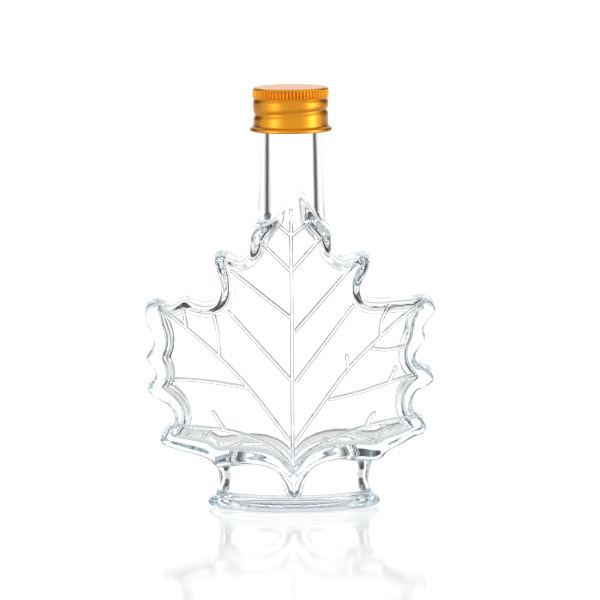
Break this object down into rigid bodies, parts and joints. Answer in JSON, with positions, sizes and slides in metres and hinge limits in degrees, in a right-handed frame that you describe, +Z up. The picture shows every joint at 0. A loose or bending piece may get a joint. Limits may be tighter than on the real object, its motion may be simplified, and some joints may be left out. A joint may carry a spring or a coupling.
{
  "type": "glass beverage bottle",
  "caption": "Empty clear glass bottle shaped as a maple leaf, with raised veins on its front, an oval foot, a round neck and a gold screw cap.",
  "frame": {"origin": "middle of the foot's underside, on the neck's axis", "axes": "+Z up along the neck, -Y out of the veined front face, +X to the right as seen from the front"},
  "size_m": [0.0943, 0.0354, 0.1357],
  "materials": {
    "clear_glass": "polished",
    "gold_aluminium": "satin"
  },
  "bodies": {
    "root": {"glass_bottle": "clear_glass", "screw_cap": "gold_aluminium"}
  },
  "joints": []
}
